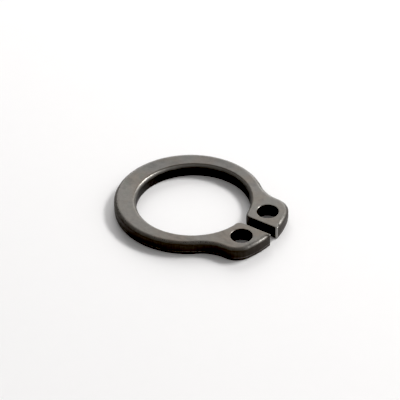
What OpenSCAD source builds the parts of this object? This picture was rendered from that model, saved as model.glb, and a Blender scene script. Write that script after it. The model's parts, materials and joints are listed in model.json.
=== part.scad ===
// Retaining ring for a shaft, stamped from spring steel sheet.
// The ring's axis is Z, the gap between the lugs faces +X, and z = 0 is halfway through the sheet.

/* [Ring] */
// Inner diameter of the free ring
bore_d = 8.4; // [7.6:0.1:12]
// Thickness of the sheet
thickness = 1; // [0.6:0.05:1.5]
// Radial width of the ring opposite the gap, where it is widest
back_width = 1.7; // [1.4:0.05:2.2]
// Radial width that the outer arc, carried on under the lugs, would leave at the gap
front_width = 1; // [0.7:0.05:1.3]

/* [Lugs] */
// Radial reach of the lugs from the bore to their ends
lug_reach = 2.9; // [2.6:0.05:3.4]
// Width over both lugs, between their outer flanks
lug_span = 7.1; // [6.5:0.05:7.8]
// Radius of the outer corner of each lug
corner_r = 1.5; // [0.6:0.05:1.8]
// Length of the straight stretch on each outer flank
flank_len = 0.1; // [0.05:0.05:0.6]
// Width of the gap between the lugs
gap_w = 0.8; // [0.4:0.05:1.2]
// Radius of the rounded corner where each lug meets the bore
nose_r = 0.7; // [0.4:0.05:0.9]
// Radius of the small corner where the gap meets each lug's end
tip_r = 0.12; // [0.06:0.02:0.2]

/* [Plier holes] */
// Diameter of the plier holes
hole_d = 1.55; // [1:0.05:1.8]
// Distance between the centres of the two plier holes
hole_spacing = 3.46; // [3.2:0.02:3.8]
// Radial distance from the bore to the circle that the hole centres lie on
hole_reach = 1.47; // [1.3:0.01:1.6]

/* [Edges] */
// Radius that blanking rolls on the upper edge of the bore
die_roll = 0.3; // [0.1:0.02:0.4]
// Radius on the upper edges of the holes, which are pierced with little roll
pierced_r = 0.08; // [0.04:0.01:0.15]
// Radius that tumbling leaves on the lower edges of the bore and the holes
tumbled_r = 0.1; // [0.04:0.01:0.15]

/* [Hidden] */
$fn = 128;
// How far a cutter reaches past the face that it cuts
over = 0.5;
// How far the hollow arcs dip into the outer arc, so that they cross it cleanly where they touch it
dip = 0.001;

bore_r = bore_d / 2;
outer_r = bore_r + (back_width + front_width) / 2;
// The outer arc's centre lies this far behind the ring's axis, so the section tapers to the lugs
outer_shift = (back_width - front_width) / 2;
end_r = bore_r + lug_reach;
flank_y = lug_span / 2;
gap_y = gap_w / 2;

// Centre of the corner arc, which touches the flank and the end arc
corner_y = flank_y - corner_r;
corner_x = sqrt(pow(end_r - corner_r, 2) - pow(corner_y, 2));
corner_turn = atan2(corner_y, corner_x);

// The hollow arc runs from the outer arc to the flank and touches both
hollow_x = corner_x - flank_len;
hollow_r = (pow(hollow_x + outer_shift, 2) + pow(flank_y, 2) - pow(outer_r, 2)) / (2 * (outer_r - flank_y));
hollow_turn = atan2(flank_y + hollow_r, hollow_x + outer_shift);

// The nose arc touches the bore and the gap's side
nose_y = gap_y + nose_r;
nose_turn = asin(nose_y / (bore_r + nose_r));
nose_x = (bore_r + nose_r) * cos(nose_turn);

// The tip arc touches the gap's side and the end arc
tip_turn = asin((gap_y + tip_r) / (end_r - tip_r));

hole_y = hole_spacing / 2;
hole_x = sqrt(pow(bore_r + hole_reach, 2) - pow(hole_y, 2));

module both_sides() {
    children();
    mirror([0, 1, 0]) children();
}

// Each arc is placed from the one that it touches, so the outline stays smooth
module at_outer() {
    translate([-outer_shift, 0]) children();
}

module at_hollow() {
    at_outer() rotate(hollow_turn) translate([outer_r + hollow_r - dip, 0]) rotate(-hollow_turn) children();
}

module at_corner() {
    at_hollow() translate([flank_len, -hollow_r - corner_r]) children();
}

module at_end() {
    at_corner() rotate(corner_turn) translate([corner_r - end_r, 0]) children();
}

module at_nose() {
    rotate(nose_turn) translate([bore_r + nose_r, 0]) rotate(-nose_turn) children();
}

module at_tip() {
    rotate(tip_turn) translate([end_r - tip_r, 0]) rotate(-tip_turn) children();
}

// Area between an arc and the two lines or arcs that it touches at the angles from and to
module web(r, from, to, depth) {
    middle = (from + to) / 2;
    difference() {
        polygon([
            [0, 0],
            (r + depth) * [cos(from), sin(from)],
            (r + depth) * [cos(middle), sin(middle)],
            (r + depth) * [cos(to), sin(to)]
        ]);
        circle(r);
    }
}

module lug() {
    at_hollow() {
        translate([-hollow_x, -hollow_r - flank_y - gap_y]) square([corner_x, flank_y + gap_y]);
        web(hollow_r, 180 + hollow_turn, 270, back_width);
    }
    at_corner() circle(corner_r);
    at_end() intersection() {
        circle(end_r);
        translate([0, -corner_x]) square([end_r, corner_x]);
        rotate(-corner_turn) square(end_r);
    }
}

module gap() {
    at_nose() {
        web(nose_r, 180 + nose_turn, 270, nose_r / 2);
        translate([-nose_x, -nose_y - gap_y / 2]) square([end_r + over, 3 * gap_y / 2]);
    }
    at_tip() web(tip_r, -90, tip_turn, tip_r);
}

module outline() {
    difference() {
        union() {
            at_outer() circle(outer_r);
            both_sides() lug();
        }
        circle(bore_r);
        both_sides() gap();
    }
}

// Half section of a hole of radius r, with the radius e on its upper edge
module hole_section(r, e) {
    module rounded_edge(e) {
        difference() {
            translate([0, -e]) square([e, e + over]);
            translate([e, -e]) circle(e);
        }
    }
    translate([0, -over]) square([r, thickness + 2 * over]);
    translate([r, thickness]) rounded_edge(e);
    translate([r, 0]) mirror([0, 1]) rounded_edge(tumbled_r);
}

module retaining_ring() {
    color("dimgray")
    translate([0, 0, -thickness / 2]) difference() {
        linear_extrude(thickness) outline();
        rotate_extrude() hole_section(bore_r, die_roll);
        both_sides() translate([hole_x, hole_y, 0]) rotate_extrude() hole_section(hole_d / 2, pierced_r);
    }
}

retaining_ring();
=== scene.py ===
"""A circlip retaining ring of phosphated spring steel, lying on a white surface.

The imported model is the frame, and the ring here is a finer surface of the same form. It is laid out as an
add-on with one operator for the ring and one for the studio. Lengths are metres in the row's frame, where
the ring's axis is Z, the gap between its lugs faces +X and z = 0 is halfway through the sheet.
"""

import json
import math

import bmesh
import bpy
import numpy as np
from bpy.props import FloatProperty, FloatVectorProperty, PointerProperty
from mathutils import Matrix, Vector


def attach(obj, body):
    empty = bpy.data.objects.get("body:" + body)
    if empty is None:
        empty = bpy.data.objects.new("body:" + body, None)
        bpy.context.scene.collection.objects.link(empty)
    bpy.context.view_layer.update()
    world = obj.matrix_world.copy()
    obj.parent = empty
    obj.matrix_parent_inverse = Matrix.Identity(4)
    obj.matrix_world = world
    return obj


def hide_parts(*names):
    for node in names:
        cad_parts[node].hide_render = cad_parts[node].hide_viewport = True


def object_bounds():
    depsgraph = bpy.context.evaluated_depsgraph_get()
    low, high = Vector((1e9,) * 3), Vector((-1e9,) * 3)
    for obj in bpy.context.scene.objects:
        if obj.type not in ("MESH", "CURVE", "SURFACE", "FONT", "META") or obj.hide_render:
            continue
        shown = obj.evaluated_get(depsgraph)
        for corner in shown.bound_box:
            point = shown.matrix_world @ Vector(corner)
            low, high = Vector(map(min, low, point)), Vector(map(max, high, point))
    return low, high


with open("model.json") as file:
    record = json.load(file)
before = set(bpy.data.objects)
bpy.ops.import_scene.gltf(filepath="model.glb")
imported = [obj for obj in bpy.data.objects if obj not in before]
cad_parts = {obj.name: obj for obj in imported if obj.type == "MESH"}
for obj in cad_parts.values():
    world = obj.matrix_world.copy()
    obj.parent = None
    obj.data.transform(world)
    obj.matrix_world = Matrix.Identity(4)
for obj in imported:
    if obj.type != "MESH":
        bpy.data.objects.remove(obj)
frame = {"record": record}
CAD_LOW, CAD_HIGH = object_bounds()

bl_info = {
    "name": "Circlip Retaining Ring",
    "version": (1, 0, 0),
    "blender": (4, 5, 0),
    "location": "View3D > Sidebar > Circlip",
    "description": "Builds a stamped retaining ring for a shaft and a small white studio around it",
    "category": "Add Mesh",
}

MM = 0.001
NODE = "retaining_ring"
MOUNTS = {mount["name"]: mount for mount in frame["record"]["mounts"]}
HOLE_PLACE = Vector(MOUNTS["plier_hole_left"]["pos_m"])
BORE_RADIUS = MOUNTS["shaft_bore"]["dims"]["r_mm"] * MM
HOLE_RADIUS = MOUNTS["plier_hole_left"]["dims"]["r_mm"] * MM


def length(name, description, default):
    """A size property, in metres."""
    display = {"unit": "LENGTH", "precision": 5}
    return FloatProperty(name=name, description=description, default=default, min=0, **display)


def share(name, description, default):
    """A property between 0 and 1."""
    limits = {"min": 0, "max": 1}
    return FloatProperty(name=name, description=description, default=default, subtype="FACTOR", **limits)


def tint(name, description, default):
    """A colour property."""
    limits = {"min": 0, "max": 1, "size": 3}
    return FloatVectorProperty(name=name, description=description, default=default, subtype="COLOR", **limits)


def power(name, description, default):
    """A light's power, in watts."""
    return FloatProperty(name=name, description=description, default=default, min=0, unit="POWER")


class RingSizes(bpy.types.PropertyGroup):
    """Sizes of the ring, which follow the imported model"""

    bore_radius: length("Bore radius", "Inner radius of the free ring", BORE_RADIUS)
    thickness: length("Thickness", "Thickness of the sheet", CAD_HIGH.z - CAD_LOW.z)
    back_width: length("Back width", "Radial width opposite the gap", 1.7 * MM)
    front_width: length("Front width", "Radial width that the outer arc would leave at the gap", 1.0 * MM)
    lug_reach: length("Lug reach", "Radial reach of the lugs from the bore", 2.9 * MM)
    lug_span: length("Lug span", "Width over both lugs", 7.1 * MM)
    corner_radius: length("Corner radius", "Radius of the outer corner of each lug", 1.5 * MM)
    flank_length: length("Flank length", "Straight stretch on each outer flank", 0.1 * MM)
    gap_width: length("Gap width", "Width of the gap between the lugs", 0.8 * MM)
    nose_radius: length("Nose radius", "Radius where each lug meets the bore", 0.7 * MM)
    tip_radius: length("Tip radius", "Radius where each lug's end meets the gap", 0.12 * MM)
    hole_radius: length("Hole radius", "Radius of the plier holes", HOLE_RADIUS)
    roll_width: length("Roll width", "Width of the rolled upper edge on the outline", 0.36 * MM)
    roll_depth: length("Roll depth", "Depth of that rolled edge", 0.25 * MM)
    bore_roll_width: length("Bore roll width", "Width of the rolled upper edge on the bore", 0.28 * MM)
    bore_roll_depth: length("Bore roll depth", "Depth of the bore's rolled edge", 0.36 * MM)
    gap_roll: length("Gap roll", "Radius of the upper edge along the gap", 0.09 * MM)
    hole_roll: length("Hole roll", "Radius of the upper edge round the plier holes", 0.08 * MM)
    lower_radius: length("Lower radius", "Radius of the lower edges", 0.08 * MM)
    break_height: length("Break height", "Height over the lower face where the wall turns rough", 0.24 * MM)
    break_taper: length("Break taper", "How far the rough part of the wall draws in", 0.02 * MM)


class SteelFinish(bpy.types.PropertyGroup):
    """Colours and gloss of the steel"""

    face_tint: tint("Face", "Phosphated face of the sheet", (0.091, 0.083, 0.072))
    brown_tint: tint("Brown bloom", "Warmer patches of the coating", (0.095, 0.077, 0.059))
    green_tint: tint("Green bloom", "Cooler patches of the coating", (0.077, 0.079, 0.062))
    # The walls' colour: a dark sheared surface, made darker still as painted shade
    wall_and_shade_tint: tint("Sheared wall", "Blackened wall that the blanking leaves", (0.047, 0.041, 0.036))
    ridge_tint: tint("Worn ridge", "Worn line along the wall", (0.23, 0.218, 0.205))
    rim_tint: tint("Burnished rim", "Rims rubbed bright by tumbling", (0.18, 0.172, 0.161))
    bore_tint: tint("Bore rim", "Rim of the bore, rubbed brighter than the others", (0.22, 0.21, 0.195))
    # The tips' colour: worn steel at the corners of the lug ends, brightened further as a painted highlight
    tip_highlight_tint: tint("Tips", "Corners of the lug ends, worn to bright steel", (0.55, 0.54, 0.52))
    face_roughness: share("Face roughness", "Roughness of the face", 0.45)
    rim_roughness: share("Rim roughness", "Roughness of the burnished rims", 0.27)
    wall_roughness: share("Wall roughness", "Roughness of the sheared wall", 0.55)


class StudioLight(bpy.types.PropertyGroup):
    """Floor, lights and camera"""

    floor_tint: tint("Floor", "White surface under the ring", (0.905, 0.893, 0.889))
    key_power: power("Key", "Power of the softbox on the right", 0.56)
    side_power: power("Side", "Power of the wide panel on the right", 0.38)
    back_power: power("Back", "Power of the panel behind the ring", 1.08)
    sky_strength: FloatProperty(name="Sky", description="Light from all round", default=0.325, min=0)
    lens: FloatProperty(name="Lens", description="Focal length", default=184.4, min=1, unit="CAMERA")


# The ring's surface

NECK_TURN = math.radians(40)  # where the lug's part of the bore ends, seen from the axis
NECK_SHARE = 0.42  # the lug's part of the hollow arc, from the flank
BODY_STEPS = 300  # along the bore and along the outer arc, from the neck to the back
NECK_STEPS = 14  # across the face, from the bore to the outer arc
FAN_STEPS = 9  # across the face, from a hole to the lug's border
ROLL_STEPS = 14  # down the roll of the upper edge
WALL_STEPS = 5  # down each of the wall's two parts below it
LUG_STEP = 0.04  # millimetres
FINE = 40  # steps of each arc of a lug before it is resampled
OUTER_FINE = 800  # the same for the outer arc
FLANK_FINE = 4  # the same for the straight flank
GUARD = 0.03  # share of the way across a face that the first and the last step take
GAP_FADE = 6  # steps over which the roll grows beside the gap
DENT_SHARE = 0.012  # of the roll's size
DENT_WAVES = (0.35, 3)  # the shortest and the longest, in millimetres
WANDER = 0.02  # of the break line up and down, in millimetres
WANDER_WAVES = (0.3, 4)
WAVE_COUNT = 60
WELD_PER_MM = 1e5  # points are joined where they agree to a hundred-thousandth of a millimetre
UPTURN = "upturn"  # the mesh's attribute that tells face from wall


def ring_values(sizes):
    """The sizes in millimetres, with the centres and angles at which the outline's arcs touch."""
    v = {name: getattr(sizes, name) / MM for name in sizes.__annotations__}
    v["outer_r"] = v["bore_radius"] + (v["back_width"] + v["front_width"]) / 2
    v["shift"] = (v["back_width"] - v["front_width"]) / 2
    v["end_r"] = v["bore_radius"] + v["lug_reach"]
    v["flank_y"], v["gap_y"] = v["lug_span"] / 2, v["gap_width"] / 2
    v["corner_y"] = v["flank_y"] - v["corner_radius"]
    v["corner_x"] = math.sqrt((v["end_r"] - v["corner_radius"]) ** 2 - v["corner_y"] ** 2)
    v["hollow_x"] = v["corner_x"] - v["flank_length"]
    v["hollow_r"] = ((v["hollow_x"] + v["shift"]) ** 2 + v["flank_y"] ** 2 - v["outer_r"] ** 2) / (
        2 * (v["outer_r"] - v["flank_y"]))
    v["hollow_turn"] = math.atan2(v["flank_y"] + v["hollow_r"], v["hollow_x"] + v["shift"])
    v["nose_y"] = v["gap_y"] + v["nose_radius"]
    v["nose_turn"] = math.asin(v["nose_y"] / (v["bore_radius"] + v["nose_radius"]))
    v["tip_y"] = v["gap_y"] + v["tip_radius"]
    v["tip_turn"] = math.asin(v["tip_y"] / (v["end_r"] - v["tip_radius"]))
    return v


def arc(centre, radius, start, end, count, side=1):
    """count steps along a circle from one angle to another, as x, y and the normal out of the metal.

    The normal is the ray from the centre for side = 1, and its opposite for side = -1, on a hollow arc.
    """
    turn = np.linspace(start, end, count + 1)
    ray = np.stack([np.cos(turn), np.sin(turn)], axis=1)
    return np.hstack([np.asarray(centre) + radius * ray, side * ray])


def straight(start, end, normal, count):
    """count steps along a straight line, with its normal."""
    points = np.linspace(start, end, count + 1)
    return np.hstack([points, np.broadcast_to(normal, points.shape)])


def resample(path, count):
    """count equal steps along a path of x, y and normal."""
    steps = np.hypot(*np.diff(path[:, :2], axis=0).T)
    run = np.concatenate([[0], np.cumsum(steps)])
    even = np.linspace(0, run[-1], count + 1)
    out = np.stack([np.interp(even, run, column) for column in path.T], axis=1)
    out[:, 2:] /= np.linalg.norm(out[:, 2:], axis=1, keepdims=True)
    return out


def join(*paths):
    """Paths end to end, with each shared point once."""
    return np.vstack([path[:-1] for path in paths[:-1]] + [paths[-1]])


def half_outline(v):
    """The outline's upper half, in millimetres, as bore part, lug part and outer part.

    It runs with the metal on its left: along the bore from the back to the neck, round the lug by the nose,
    the gap's side, the tip, the end, the corner and the flank to the neck's outer side, and on to the back.
    """
    half = math.pi / 2
    corner_turn = math.atan2(v["corner_y"], v["corner_x"])
    nose = (v["nose_y"] / math.tan(v["nose_turn"]), v["nose_y"])
    tip = (v["tip_y"] / math.tan(v["tip_turn"]), v["tip_y"])
    hollow = (v["hollow_x"], v["flank_y"] + v["hollow_r"])
    # The hollow arc begins at the flank, and the neck's outer end lies part of the way along it
    hollow_end = v["hollow_turn"] - math.pi
    neck = -half + (hollow_end + half) * NECK_SHARE
    bore = arc((0, 0), v["bore_radius"], math.pi, NECK_TURN, BODY_STEPS, -1)
    lug = join(
        arc((0, 0), v["bore_radius"], NECK_TURN, v["nose_turn"], FINE, -1),
        arc(nose, v["nose_radius"], v["nose_turn"] - math.pi, -half, FINE),
        straight((nose[0], v["gap_y"]), (tip[0], v["gap_y"]), (0, -1), FINE),
        arc(tip, v["tip_radius"], -half, v["tip_turn"], FINE),
        arc((0, 0), v["end_r"], v["tip_turn"], corner_turn, FINE),
        arc((v["corner_x"], v["corner_y"]), v["corner_radius"], corner_turn, half, FINE),
        straight((v["corner_x"], v["flank_y"]), (v["hollow_x"], v["flank_y"]), (0, 1), FLANK_FINE),
        arc(hollow, v["hollow_r"], -half, neck, FINE, -1),
    )
    outer = join(
        arc(hollow, v["hollow_r"], neck, hollow_end, FINE, -1),
        arc((-v["shift"], 0), v["outer_r"], v["hollow_turn"], math.pi, OUTER_FINE),
    )
    lug_run = np.hypot(*np.diff(lug[:, :2], axis=0).T).sum()
    return bore, resample(lug, round(lug_run / LUG_STEP)), resample(outer, BODY_STEPS)


def mirrored(path):
    """A path's mirror image in y, run the other way, so that the metal stays on its left."""
    return path[::-1] * [1, -1, 1, -1]


def smooth(values, width):
    """A closed row of values, averaged over width neighbours, twice."""
    kernel = np.ones(width) / width
    for _ in range(2):
        padded = np.concatenate([values[-width:], values, values[:width]])
        values = np.convolve(padded, kernel, mode="same")[width:-width]
    return values


def ripple(run, total, low, high, seed):
    """A closed, random-looking row of height about 1: a sum of cosines along the outline.

    low and high are the shortest and the longest wave in millimetres, and run is the place along the outline.
    """
    rng = np.random.default_rng(seed)
    orders = rng.integers(max(1, int(total / high)), max(2, int(total / low)), WAVE_COUNT)
    phases = rng.uniform(0, 2 * np.pi, WAVE_COUNT)
    waves = np.cos(2 * np.pi * run[..., None] / total * orders + phases)
    return waves.sum(axis=-1) / math.sqrt(WAVE_COUNT / 2)


def wall_profile(v, width, depth, wander):
    """Section of the plate's edge, from top to bottom: inset from the outline and height, a row to a place.

    The upper edge is a quarter of an ellipse, width by depth. The wall below is upright down to the break
    line, then draws in by the break's taper, and the lower edge is a quarter circle.
    """
    top = v["thickness"] / 2
    lower, taper = v["lower_radius"], v["break_taper"]
    width, depth, wander = (np.reshape(value, (-1, 1)) for value in (width, depth, wander))
    turn = np.linspace(0, np.pi / 2, ROLL_STEPS + 1)
    roll = [width * (1 - np.sin(turn)), top - depth * (1 - np.cos(turn))]
    line = -top + v["break_height"] + wander
    fall = np.linspace(0, 1, WALL_STEPS + 1)[1:]
    land = [0 * fall + 0 * width, top - depth + (line - top + depth) * fall]
    rough = [taper * fall + 0 * width, line + (lower - top - line) * fall]
    turn = np.linspace(0, np.pi / 2, ROLL_STEPS // 2 + 1)[1:]
    foot = [taper + lower * (1 - np.cos(turn)) + 0 * width, -top + lower * (1 - np.sin(turn)) + 0 * width]
    return [np.hstack(column) for column in zip(roll, land, rough, foot)]


def carry(path, profile):
    """The grid that a profile of inset and height sweeps along a path of x, y and normal."""
    inset, height = (np.broadcast_to(column, (len(path), column.shape[1])) for column in profile)
    plan = path[:, None, :2] - path[:, None, 2:] * inset[..., None]
    return np.concatenate([plan, height[..., None]], axis=2)


def between(first, last, count):
    """The grid of straight lines from each point of one row to the same point of another.

    The outer steps are short, so that the shading of a rolled edge doesn't spread over the flat face.
    """
    across = np.concatenate([[0], np.linspace(GUARD, 1 - GUARD, count - 1), [1]])[None, :, None]
    return first[:, None] * (1 - across) + last[:, None] * across


def edge_grid(v, outline):
    """The plate's edge: the wall's profile carried along the closed outline.

    The roll is small along the gap, and its size and the break line waver a little, as blanking leaves them.
    """
    steps = np.hypot(*(np.roll(outline[:, :2], -1, axis=0) - outline[:, :2]).T)
    run, total = np.concatenate([[0], np.cumsum(steps)[:-1]]), steps.sum()
    by_bore = np.hypot(*outline[:, :2].T) < v["bore_radius"] + v["front_width"] / 2
    by_gap = (np.abs(outline[:, 1]) < v["tip_y"]) & (outline[:, 0] > 0)
    for _ in range(2):
        # The first pass widens the stretch by the gap and the second fades its ends
        by_gap = smooth(np.ceil(by_gap), GAP_FADE)
    dents = 1 + DENT_SHARE * ripple(run, total, *DENT_WAVES, seed=1)
    wander = WANDER * ripple(run, total, *WANDER_WAVES, seed=2)

    def roll(size):
        here = np.where(by_bore, v["bore_" + size], v[size])
        return (here * (1 - by_gap) + v["gap_roll"] * by_gap) * dents

    return carry(outline, wall_profile(v, roll("roll_width"), roll("roll_depth"), wander))


def grid_faces(rows, columns, closed):
    """Corner numbers of the quads of a grid, which may close on itself along its rows."""
    index = np.arange(rows * columns).reshape(rows, columns)
    if closed:
        index = np.vstack([index, index[:1]])
    corners = [index[:-1, :-1], index[:-1, 1:], index[1:, 1:], index[1:, :-1]]
    return np.stack(corners, axis=-1).reshape(-1, 4)


def merged(grids):
    """One list of points and one of quads from grids that share their borders."""
    points, faces, start = [], [], 0
    for grid, closed in grids:
        rows, columns = grid.shape[:2]
        points.append(grid.reshape(-1, 3))
        faces.append(grid_faces(rows, columns, closed) + start)
        start += rows * columns
    points, faces = np.vstack(points), np.vstack(faces)
    keys = np.round(points * WELD_PER_MM).astype(np.int64)
    _, first, inverse = np.unique(keys, axis=0, return_index=True, return_inverse=True)
    return points[first], inverse.reshape(-1)[faces]


def ring_surface(v):
    """The ring's closed surface in millimetres, as points and quads.

    The edge is a profile carried along the outline, and each hole is one carried along a circle. Each flat
    face is ruled: straight lines from the bore to the outer arc, and from each hole to the lug's border.
    """
    bore, lug, outer = half_outline(v)
    half = join(bore, lug, outer)
    edge = edge_grid(v, np.vstack([half[:-1], mirrored(half)[:-1]]))
    grids = [(edge, True)]
    neck_in, neck_out = len(bore) - 1, len(bore) + len(lug) - 2
    hole_profile = wall_profile(v, v["hole_roll"], v["hole_roll"], 0)
    for sign in (1, -1):
        # The mirrored half runs the other way round the outline
        rows = edge[sign * np.arange(len(half))]
        hole = np.array([HOLE_PLACE.x / MM, sign * HOLE_PLACE.y / MM])
        wall = None
        for side in (0, -1):
            rim = rows[:, side]
            body = between(rim[:neck_in + 1], rim[neck_out:][::-1], NECK_STEPS)
            border = np.vstack([rim[neck_in:neck_out + 1], body[-1][::-1][1:-1]])
            if wall is None:
                ray = border[:, :2] - hole
                ray = ray / np.linalg.norm(ray, axis=1, keepdims=True)
                wall = carry(np.hstack([hole + v["hole_radius"] * ray, -ray]), hole_profile)
                grids.append((wall, True))
            grids += [(body, False), (between(wall[:, side], border, FAN_STEPS), True)]
    return merged(grids)


def build_ring_mesh(v):
    """The ring's mesh in metres, closed and with its faces pointing outwards."""
    points, faces = ring_surface(v)
    mesh = bpy.data.meshes.new("Retaining ring")
    mesh.from_pydata((points * MM).tolist(), [], faces.tolist())
    work = bmesh.new()
    work.from_mesh(mesh)
    bmesh.ops.recalc_face_normals(work, faces=work.faces)
    loose = sum(not edge.is_manifold for edge in work.edges)
    if loose:
        raise RuntimeError(f"the ring's surface has {loose} open edges")
    work.to_mesh(mesh)
    work.free()
    mesh.shade_smooth()
    # The material tells face from wall by the upward part of each point's normal
    normals = np.empty(3 * len(mesh.vertices), dtype=np.float32)
    mesh.vertices.foreach_get("normal", normals)
    mesh.attributes.new(UPTURN, "FLOAT", "POINT").data.foreach_set("value", normals[2::3].copy())
    return mesh


# Materials

SHADED_SIDE = (-0.574, 0.819, 0.0)  # the side away from the camera, towards which the face is painted darker as shade
SHADE_FROM, SHADE_TO = 0.5, 5.0  # millimetres towards that side, over which the painted shade sets in
SIDE_SHADE = 0.36  # how much darker the painted shade makes the face there
SMUDGE = 0.30  # how much darker a smudge is
BORE_BAND = (0.5, 0.3)  # millimetres from the bore, between which its rubbed rim begins
TIP_BAND = (0.25, 0.12)  # millimetres from the lugs' ends
TIP_SOFTNESS = 0.05  # millimetres
RIDGE_WAVE = 0.10  # of the worn ridge up and down, in millimetres
RIDGE_FADE = (0.012, 0.055)  # millimetres from the ridge's line
PIT_EDGE = (0.03, 0.13)  # of the spacing of the pits
RELIEF = 0.012 * MM  # height of the coating's crystals


class Term:
    """A value that varies over a surface. Arithmetic on it, with numbers or terms, adds Math nodes."""

    def __init__(self, recipe, socket):
        self.recipe = recipe
        self.socket = socket

    def math(self, operation, *values):
        return self.recipe.node("ShaderNodeMath", {"operation": operation}, dict(enumerate(values)))

    def __add__(self, other):
        return self.math("ADD", self, other)

    def __radd__(self, other):
        return self.math("ADD", other, self)

    def __sub__(self, other):
        return self.math("SUBTRACT", self, other)

    def __rsub__(self, other):
        return self.math("SUBTRACT", other, self)

    def __mul__(self, other):
        return self.math("MULTIPLY", self, other)

    def __rmul__(self, other):
        return self.math("MULTIPLY", other, self)

    def __abs__(self):
        return self.math("ABSOLUTE", self)

    def step(self, low, high):
        """0 at low and 1 at high, smooth between them; low may be above high."""
        return self.recipe.node("ShaderNodeMapRange", {"interpolation_type": "SMOOTHSTEP"},
                                {"Value": self, "From Min": low, "From Max": high})


class Recipe:
    """The nodes of one material."""

    def __init__(self, name):
        self.material = bpy.data.materials.new(name)
        self.material.use_nodes = True
        self.tree = self.material.node_tree
        self.tree.nodes.clear()

    def node(self, kind, settings=None, inputs=None, output=0):
        """Adds a node, sets its settings and inputs, and gives one of its outputs as a term."""
        made = self.tree.nodes.new(kind)
        for name, value in (settings or {}).items():
            setattr(made, name, value)
        for name, value in (inputs or {}).items():
            if isinstance(value, Term):
                self.tree.links.new(value.socket, made.inputs[name])
            else:
                made.inputs[name].default_value = value
        return Term(self, made.outputs[output])

    def noise(self, place, scale, detail=3.0, roughness=0.55, distortion=0.0):
        """Noise between about 0 and 1, with scale waves to the unit of place."""
        return self.node("ShaderNodeTexNoise", {"noise_dimensions": "3D"},
                         {"Vector": place, "Scale": scale, "Detail": detail, "Roughness": roughness,
                          "Distortion": distortion})

    def stretched(self, place, factors):
        """The place with each coordinate multiplied by its factor."""
        return self.node("ShaderNodeVectorMath", {"operation": "MULTIPLY"}, {0: place, 1: factors})

    def vector_value(self, operation, inputs):
        """The number that a Vector Math node gives."""
        return self.node("ShaderNodeVectorMath", {"operation": operation}, inputs, output="Value")

    def mix(self, factor, first, last, blend="MIX"):
        """A colour between two colours."""
        return self.node("ShaderNodeMix", {"data_type": "RGBA", "blend_type": blend, "clamp_factor": True},
                         {0: factor, 6: rgba(first), 7: rgba(last)}, output=2)

    def grey(self, value):
        """A value as a grey colour."""
        return self.node("ShaderNodeCombineColor", {}, {0: value, 1: value, 2: value})

    def finish(self, inputs):
        """Ends the material in one Principled shader."""
        shader = self.node("ShaderNodeBsdfPrincipled", {}, inputs)
        ending = self.tree.nodes.new("ShaderNodeOutputMaterial")
        self.tree.links.new(shader.socket, ending.inputs["Surface"])
        return self.material


def rgba(colour):
    """A colour with its alpha, or the term that it is."""
    return colour if isinstance(colour, Term) else (*colour, 1.0)


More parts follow.
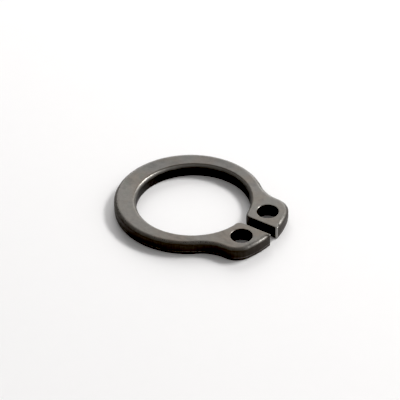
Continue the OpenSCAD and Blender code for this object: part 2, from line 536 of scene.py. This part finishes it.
def phosphated_steel(finish, v):
    """Spring steel, phosphated and oiled: a crystalline face, burnished rims and dark walls. The walls are
    partly a dark sheared surface and partly painted shade. There is painted shade towards the far side and a
    painted highlight on the lugs' tips.
    """
    steel = Recipe("Phosphated spring steel")
    place = steel.node("ShaderNodeTexCoord", output="Object")
    place = steel.stretched(place, (1 / MM, 1 / MM, 1 / MM))
    level = steel.node("ShaderNodeSeparateXYZ", {}, {0: place}, output=1)
    height = steel.node("ShaderNodeSeparateXYZ", {}, {0: place}, output=2)
    up = steel.node("ShaderNodeAttribute", {"attribute_name": UPTURN}, output="Fac")

    # The coating's patterns, from the widest to the finest
    # Painted shade: a ramp that darkens the face towards the side away from the camera
    far = steel.vector_value("DOT_PRODUCT", {0: place, 1: SHADED_SIDE})
    far_shade = far.step(SHADE_FROM, SHADE_TO)
    clouds = steel.noise(place, 0.55, 2)
    smudges = steel.noise(steel.stretched(place, (1, 1.6, 1)), 0.8, 4, 0.65, 0.3).step(0.50, 0.68)
    bloom = steel.noise(place, 1.6, 3, 0.6, 0.4)
    specks = steel.noise(place, 3.2, 4, 0.6)
    crystals = steel.noise(place, 11, 4, 0.65)
    grain = steel.noise(place, 42, 2, 0.6)
    streaks = steel.noise(steel.stretched(place, (1, 1, 0.09)), 9, 3, 0.65)

    # The bore's band and the rims, where the surface turns over from face to wall
    flat = steel.stretched(place, (1, 1, 0))
    radius = steel.vector_value("LENGTH", {0: flat})
    bore = radius.step(*(v["bore_radius"] + reach for reach in BORE_BAND))
    slope = abs(up)
    rim = slope.step(0.998, 0.95) * slope.step(0.45, 0.75) * (0.65 + specks.step(0.40, 0.60) * 0.35)

    # The coated face, with blooms of two colours under the crystals and the smudges, and painted shade
    # darkening it towards the side away from the camera
    face = steel.mix(clouds.step(0.40, 0.66), finish.face_tint, finish.brown_tint)
    face = steel.mix(bloom.step(0.50, 0.72) * 0.7, face, finish.green_tint)
    face = steel.mix(1.0, face, steel.grey(0.30 + crystals * 0.65 + specks * 0.75), "MULTIPLY")
    face = steel.mix(1.0, face, steel.grey((1 - far_shade * SIDE_SHADE) * (1 - smudges * SMUDGE)), "MULTIPLY")

    # Rims, the bore's edge and the lugs' tips, each brighter than the one before: rubbed rims, a rubbed bore
    # edge, and worn tips brightened further as a painted highlight
    face = steel.mix(rim * (1 - bore) * 0.8, face, finish.rim_tint)
    face = steel.mix(bore * slope.step(0.995, 0.80), face, finish.bore_tint)
    by_end = radius.step(*(v["end_r"] - reach for reach in TIP_BAND))
    by_gap = abs(level).step(v["tip_y"] + TIP_SOFTNESS, v["tip_y"] - TIP_SOFTNESS)
    # Painted highlight at the lugs' tips, laid over their real wear
    tip_wear_and_highlight = by_end * by_gap * slope.step(0.99, 0.85)
    face = steel.mix(tip_wear_and_highlight * 0.8, face, finish.tip_highlight_tint)

    # The sheared wall begins in a ragged line, and a worn ridge runs along its break line
    wall = (slope + bore * 0.12 + (bloom - 0.5) * 0.3).step(0.98, 0.20) * (1 - tip_wear_and_highlight * 0.8)
    ridge_line = height + v["thickness"] / 2 - v["break_height"] + (bloom - 0.5) * RIDGE_WAVE
    ridge = 1 - abs(ridge_line).step(*RIDGE_FADE)
    ridge = ridge * (0.3 + streaks.step(0.35, 0.65) * 0.7) * clouds.step(0.36, 0.52) * (1 - bore)
    # Streaks along the wall, and painted shade darkening the bore's walls
    streaks_and_bore_shade = steel.grey((0.45 + streaks * 1.1) * (1 - bore * 0.65))
    # The wall colour is partly the sheared surface's own and partly painted shade
    side = steel.mix(1.0, finish.wall_and_shade_tint, streaks_and_bore_shade, "MULTIPLY")
    side = steel.mix(ridge * 0.8, side, finish.ridge_tint)
    colour = steel.mix(wall, face, side)

    # Gloss and relief
    rough = finish.face_roughness - 0.08 + crystals * 0.16
    rough = rough + rim * (1 - bore * 0.35) * (finish.rim_roughness - finish.face_roughness)
    rough = rough * (1 - wall) + wall * (finish.wall_roughness - 0.15 + streaks * 0.3)

    pits = steel.node("ShaderNodeTexVoronoi", {"feature": "F1"}, {"Vector": place, "Scale": 2.4})
    pits = 1 - pits.step(*PIT_EDGE)
    relief = (crystals * 0.5 + grain * 0.22 - pits * 0.9) * (1 - rim * 0.75) + streaks * wall * 0.8
    bump = steel.node("ShaderNodeBump", {}, {"Strength": 0.55, "Distance": RELIEF, "Height": relief})
    metallic = 0.3 + rim * (1 - wall) * 0.5
    return steel.finish({"Base Color": colour, "Metallic": metallic, "Roughness": rough,
                         "Specular IOR Level": 0.44, "Normal": bump})


def white_surface(studio):
    """Matt white paper or board, with a very faint unevenness."""
    board = Recipe("White surface")
    place = board.node("ShaderNodeTexCoord", output="Object")
    tooth = board.noise(place, 900, 3)
    colour = board.mix(tooth, studio.floor_tint, tuple(0.985 * channel for channel in studio.floor_tint))
    return board.finish({"Base Color": colour, "Roughness": 0.9, "Specular IOR Level": 0.2})


# Studio

VIEW_TURN = math.radians(35.042)  # the camera's place round the ring, from -Y towards +X
VIEW_RISE = math.radians(36.885)
VIEW_ROLL = math.radians(-0.958)
VIEW_DISTANCE = 0.1512
IMAGE_SIDE = 400  # pixels
BASE_AT = (192.853, 209.0)  # where the axis meets the floor in the image, in pixels
SENSOR_WIDTH = 36  # millimetres
FLOOR_REACH = 0.4
FLOOR_SIDES = 96
BLACK_LEVEL = 0.033


def toward(turn, rise):
    """Unit vector to a place in the studio: turn is from the image's right towards its far side."""
    level = math.cos(rise)
    flat = Vector((level * math.cos(turn), level * math.sin(turn), math.sin(rise)))
    return Matrix.Rotation(VIEW_TURN, 3, "Z") @ flat


def aim(thing, target=(0, 0, 0)):
    """Turns a light so that it faces the target."""
    ray = Vector(target) - thing.location
    thing.rotation_euler = ray.to_track_quat("-Z", "Y").to_euler()


def panel_light(name, power, turn, rise, distance, width, depth):
    """A rectangular softbox that faces the ring: turn and rise in degrees, the others in metres."""
    data = bpy.data.lights.new(name, "AREA")
    data.shape, data.size, data.size_y, data.energy = "RECTANGLE", width, depth, power
    lamp = bpy.data.objects.new(name, data)
    lamp.location = toward(math.radians(turn), math.radians(rise)) * distance
    aim(lamp)
    bpy.context.scene.collection.objects.link(lamp)
    return lamp


def view_camera(lens):
    """The camera at the photograph's viewing angle, aimed so that the axis meets the floor at its pixel."""
    data = bpy.data.cameras.new("Camera")
    data.sensor_width, data.lens = SENSOR_WIDTH, lens
    data.clip_start, data.clip_end = 0.01, 10
    camera = bpy.data.objects.new("Camera", data)
    back = Vector((0, -math.cos(VIEW_RISE), math.sin(VIEW_RISE)))
    right, up = Vector((1, 0, 0)), back.cross(Vector((1, 0, 0)))
    tilt = Matrix.Rotation(VIEW_ROLL, 3, back)
    right, up = tilt @ right, tilt @ up
    pixel = data.sensor_width / IMAGE_SIDE / lens
    middle = (IMAGE_SIDE - 1) / 2
    across, down = (BASE_AT[0] - middle) * pixel, (BASE_AT[1] - middle) * pixel
    place = (back - across * right + down * up) * VIEW_DISTANCE
    axes = Matrix((right, up, back)).transposed().to_4x4()
    stand = Matrix.Translation((0, 0, CAD_LOW.z)) @ Matrix.Rotation(VIEW_TURN, 4, "Z")
    camera.matrix_world = stand @ Matrix.Translation(place) @ axes
    bpy.context.scene.collection.objects.link(camera)
    bpy.context.scene.camera = camera
    return camera


# Operators and panel


class CIRCLIP_OT_ring(bpy.types.Operator):
    """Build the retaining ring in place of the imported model's solid"""

    bl_idname = "circlip.ring"
    bl_label = "Retaining ring"

    def execute(self, context):
        v = ring_values(context.scene.circlip_ring)
        ring = bpy.data.objects.new("Retaining_ring", build_ring_mesh(v))
        context.scene.collection.objects.link(ring)
        ring.data.materials.append(phosphated_steel(context.scene.circlip_steel, v))
        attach(ring, "root")
        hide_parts(NODE)
        return {"FINISHED"}


class CIRCLIP_OT_studio(bpy.types.Operator):
    """Build the white surface, the lights and the camera"""

    bl_idname = "circlip.studio"
    bl_label = "White studio"

    def execute(self, context):
        studio = context.scene.circlip_studio
        mesh = bpy.data.meshes.new("Floor")
        turn = np.linspace(0, 2 * np.pi, FLOOR_SIDES, endpoint=False)
        x, y = FLOOR_REACH * np.cos(turn), FLOOR_REACH * np.sin(turn)
        disc = np.stack([x, y, 0 * turn + CAD_LOW.z], axis=1)
        mesh.from_pydata(disc.tolist(), [], [list(range(len(disc)))])
        floor = bpy.data.objects.new("Floor", mesh)
        floor.data.materials.append(white_surface(studio))
        context.scene.collection.objects.link(floor)

        panel_light("Key softbox", studio.key_power, 28, 44, distance=0.30, width=0.12, depth=0.06)
        panel_light("Side panel", studio.side_power, 5, 32, distance=0.42, width=0.40, depth=0.26)
        panel_light("Back panel", studio.back_power, 88, 28, distance=0.42, width=0.29, depth=0.24)
        view_camera(studio.lens)

        world = bpy.data.worlds.new("Studio")
        world.use_nodes = True
        sky = world.node_tree.nodes["Background"]
        sky.inputs["Color"].default_value = (1, 1, 1, 1)
        sky.inputs["Strength"].default_value = studio.sky_strength
        context.scene.world = world

        view = context.scene.view_settings
        view.view_transform, view.look = "Standard", "None"
        view.use_curve_mapping = True
        view.curve_mapping.black_level = (BLACK_LEVEL, BLACK_LEVEL, BLACK_LEVEL)
        view.curve_mapping.update()
        return {"FINISHED"}


class CIRCLIP_PT_panel(bpy.types.Panel):
    """Sizes, finish and light of the retaining ring"""

    bl_idname = "CIRCLIP_PT_panel"
    bl_label = "Circlip"
    bl_space_type = "VIEW_3D"
    bl_region_type = "UI"
    bl_category = "Circlip"

    def draw(self, context):
        for group, operator in zip(GROUPS, (CIRCLIP_OT_ring, None, CIRCLIP_OT_studio)):
            box = self.layout.box()
            values = getattr(context.scene, group)
            for name in values.__annotations__:
                box.prop(values, name)
            if operator:
                box.operator(operator.bl_idname)


GROUPS = {"circlip_ring": RingSizes, "circlip_steel": SteelFinish, "circlip_studio": StudioLight}
CLASSES = (*GROUPS.values(), CIRCLIP_OT_ring, CIRCLIP_OT_studio, CIRCLIP_PT_panel)


def register():
    for cls in CLASSES:
        bpy.utils.register_class(cls)
    for name, group in GROUPS.items():
        setattr(bpy.types.Scene, name, PointerProperty(type=group))


def unregister():
    for name in GROUPS:
        delattr(bpy.types.Scene, name)
    for cls in reversed(CLASSES):
        bpy.utils.unregister_class(cls)


def main():
    """Builds the ring and the studio."""
    register()
    bpy.ops.circlip.ring()
    bpy.ops.circlip.studio()


if __name__ == "__main__":
    main()
